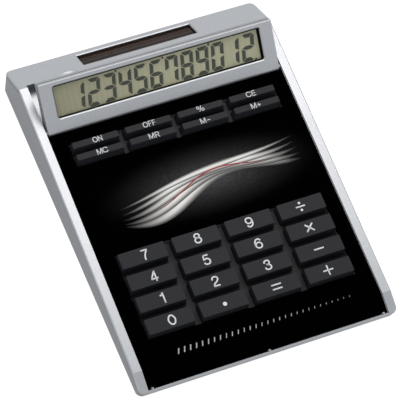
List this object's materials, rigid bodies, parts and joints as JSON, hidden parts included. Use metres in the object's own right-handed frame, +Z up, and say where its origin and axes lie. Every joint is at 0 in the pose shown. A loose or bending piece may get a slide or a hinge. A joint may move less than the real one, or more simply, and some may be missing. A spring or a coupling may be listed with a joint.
{
  "type": "desk calculator",
  "caption": "Wedge-shaped desk calculator with sprung keys in a black panel under a clear cover, a solar window in the rear deck and a display that folds up out of a tray.",
  "frame": {"origin": "on the table under the middle of the case", "axes": "+X to the right, +Y to the rear, +Z up"},
  "size_m": [0.105, 0.1435, 0.0321],
  "materials": {
    "silver_plastic": "silver paint with a fine metallic grain, satin",
    "clear_acrylic": "clear and polished",
    "black_card": "printed black",
    "key_plastic": "moulded dark grey, matt",
    "key_frame_plastic": "moulded dark grey, matt",
    "grey_rubber": "smooth silicone",
    "board_laminate": "green solder mask",
    "black_resin": "moulded package",
    "steel": "nickel-plated",
    "black_rubber": "matt",
    "solar_cell": "dark brown cell with fine strips",
    "wire_sleeve": "smooth sleeve of a flat lead",
    "ribbon_film": "amber film",
    "lcd_glass": "grey-green, satin"
  },
  "bodies": {
    "case": {"lower_case": "silver_plastic", "upper_case": "silver_plastic", "clear_cover": "clear_acrylic", "insert_card": "black_card", "number_key_frame": "key_frame_plastic", "function_key_frame": "key_frame_plastic", "number_key_mat": "grey_rubber", "function_key_mat": "grey_rubber", "main_board": "board_laminate", "chip": "black_resin", "button_cell": "steel", "battery_clip": "steel", "battery_door": "silver_plastic", "door_screw": "steel", "board_screws": "steel", "case_screws": "steel", "rubber_feet": "black_rubber", "solar_window": "clear_acrylic", "solar_cell": "solar_cell", "solar_leads": "wire_sleeve", "lcd_ribbon": "ribbon_film"},
    "display": {"display_bezel": "silver_plastic", "display_back": "silver_plastic", "display_window": "clear_acrylic", "lcd_glass": "lcd_glass"},
    "key_0": {"key_0": "key_plastic"},
    "key_point": {"key_point": "key_plastic"},
    "key_equals": {"key_equals": "key_plastic"},
    "key_plus": {"key_plus": "key_plastic"},
    "key_1": {"key_1": "key_plastic"},
    "key_2": {"key_2": "key_plastic"},
    "key_3": {"key_3": "key_plastic"},
    "key_minus": {"key_minus": "key_plastic"},
    "key_4": {"key_4": "key_plastic"},
    "key_5": {"key_5": "key_plastic"},
    "key_6": {"key_6": "key_plastic"},
    "key_times": {"key_times": "key_plastic"},
    "key_7": {"key_7": "key_plastic"},
    "key_8": {"key_8": "key_plastic"},
    "key_9": {"key_9": "key_plastic"},
    "key_divide": {"key_divide": "key_plastic"},
    "key_mc": {"key_mc": "key_plastic"},
    "key_mr": {"key_mr": "key_plastic"},
    "key_m_minus": {"key_m_minus": "key_plastic"},
    "key_m_plus": {"key_m_plus": "key_plastic"},
    "key_on": {"key_on": "key_plastic"},
    "key_off": {"key_off": "key_plastic"},
    "key_percent": {"key_percent": "key_plastic"},
    "key_ce": {"key_ce": "key_plastic"}
  },
  "joints": [
    {"name": "display_tilt", "type": "hinge", "parent": "case", "child": "display", "pos_m": [0, 0.03727, 0.01699], "axis": [1, 0, 0], "range_deg": [-41, 0], "deforming": ["lcd_ribbon"]},
    {"name": "key_0_press", "type": "slide", "parent": "case", "child": "key_0", "axis": [0, 0.0976, -0.9952], "range_m": [0, 0.001], "stiffness_N_per_m": 600, "deforming": ["number_key_mat"]},
    {"name": "key_point_press", "type": "slide", "parent": "case", "child": "key_point", "axis": [0, 0.0976, -0.9952], "range_m": [0, 0.001], "stiffness_N_per_m": 600, "deforming": ["number_key_mat"]},
    {"name": "key_equals_press", "type": "slide", "parent": "case", "child": "key_equals", "axis": [0, 0.0976, -0.9952], "range_m": [0, 0.001], "stiffness_N_per_m": 600, "deforming": ["number_key_mat"]},
    {"name": "key_plus_press", "type": "slide", "parent": "case", "child": "key_plus", "axis": [0, 0.0976, -0.9952], "range_m": [0, 0.001], "stiffness_N_per_m": 600, "deforming": ["number_key_mat"]},
    {"name": "key_1_press", "type": "slide", "parent": "case", "child": "key_1", "axis": [0, 0.0976, -0.9952], "range_m": [0, 0.001], "stiffness_N_per_m": 600, "deforming": ["number_key_mat"]},
    {"name": "key_2_press", "type": "slide", "parent": "case", "child": "key_2", "axis": [0, 0.0976, -0.9952], "range_m": [0, 0.001], "stiffness_N_per_m": 600, "deforming": ["number_key_mat"]},
    {"name": "key_3_press", "type": "slide", "parent": "case", "child": "key_3", "axis": [0, 0.0976, -0.9952], "range_m": [0, 0.001], "stiffness_N_per_m": 600, "deforming": ["number_key_mat"]},
    {"name": "key_minus_press", "type": "slide", "parent": "case", "child": "key_minus", "axis": [0, 0.0976, -0.9952], "range_m": [0, 0.001], "stiffness_N_per_m": 600, "deforming": ["number_key_mat"]},
    {"name": "key_4_press", "type": "slide", "parent": "case", "child": "key_4", "axis": [0, 0.0976, -0.9952], "range_m": [0, 0.001], "stiffness_N_per_m": 600, "deforming": ["number_key_mat"]},
    {"name": "key_5_press", "type": "slide", "parent": "case", "child": "key_5", "axis": [0, 0.0976, -0.9952], "range_m": [0, 0.001], "stiffness_N_per_m": 600, "deforming": ["number_key_mat"]},
    {"name": "key_6_press", "type": "slide", "parent": "case", "child": "key_6", "axis": [0, 0.0976, -0.9952], "range_m": [0, 0.001], "stiffness_N_per_m": 600, "deforming": ["number_key_mat"]},
    {"name": "key_times_press", "type": "slide", "parent": "case", "child": "key_times", "axis": [0, 0.0976, -0.9952], "range_m": [0, 0.001], "stiffness_N_per_m": 600, "deforming": ["number_key_mat"]},
    {"name": "key_7_press", "type": "slide", "parent": "case", "child": "key_7", "axis": [0, 0.0976, -0.9952], "range_m": [0, 0.001], "stiffness_N_per_m": 600, "deforming": ["number_key_mat"]},
    {"name": "key_8_press", "type": "slide", "parent": "case", "child": "key_8", "axis": [0, 0.0976, -0.9952], "range_m": [0, 0.001], "stiffness_N_per_m": 600, "deforming": ["number_key_mat"]},
    {"name": "key_9_press", "type": "slide", "parent": "case", "child": "key_9", "axis": [0, 0.0976, -0.9952], "range_m": [0, 0.001], "stiffness_N_per_m": 600, "deforming": ["number_key_mat"]},
    {"name": "key_divide_press", "type": "slide", "parent": "case", "child": "key_divide", "axis": [0, 0.0976, -0.9952], "range_m": [0, 0.001], "stiffness_N_per_m": 600, "deforming": ["number_key_mat"]},
    {"name": "key_mc_press", "type": "slide", "parent": "case", "child": "key_mc", "axis": [0, 0.0976, -0.9952], "range_m": [0, 0.001], "stiffness_N_per_m": 600, "deforming": ["function_key_mat"]},
    {"name": "key_mr_press", "type": "slide", "parent": "case", "child": "key_mr", "axis": [0, 0.0976, -0.9952], "range_m": [0, 0.001], "stiffness_N_per_m": 600, "deforming": ["function_key_mat"]},
    {"name": "key_m_minus_press", "type": "slide", "parent": "case", "child": "key_m_minus", "axis": [0, 0.0976, -0.9952], "range_m": [0, 0.001], "stiffness_N_per_m": 600, "deforming": ["function_key_mat"]},
    {"name": "key_m_plus_press", "type": "slide", "parent": "case", "child": "key_m_plus", "axis": [0, 0.0976, -0.9952], "range_m": [0, 0.001], "stiffness_N_per_m": 600, "deforming": ["function_key_mat"]},
    {"name": "key_on_press", "type": "slide", "parent": "case", "child": "key_on", "axis": [0, 0.0976, -0.9952], "range_m": [0, 0.001], "stiffness_N_per_m": 600, "deforming": ["function_key_mat"]},
    {"name": "key_off_press", "type": "slide", "parent": "case", "child": "key_off", "axis": [0, 0.0976, -0.9952], "range_m": [0, 0.001], "stiffness_N_per_m": 600, "deforming": ["function_key_mat"]},
    {"name": "key_percent_press", "type": "slide", "parent": "case", "child": "key_percent", "axis": [0, 0.0976, -0.9952], "range_m": [0, 0.001], "stiffness_N_per_m": 600, "deforming": ["function_key_mat"]},
    {"name": "key_ce_press", "type": "slide", "parent": "case", "child": "key_ce", "axis": [0, 0.0976, -0.9952], "range_m": [0, 0.001], "stiffness_N_per_m": 600, "deforming": ["function_key_mat"]}
  ]
}
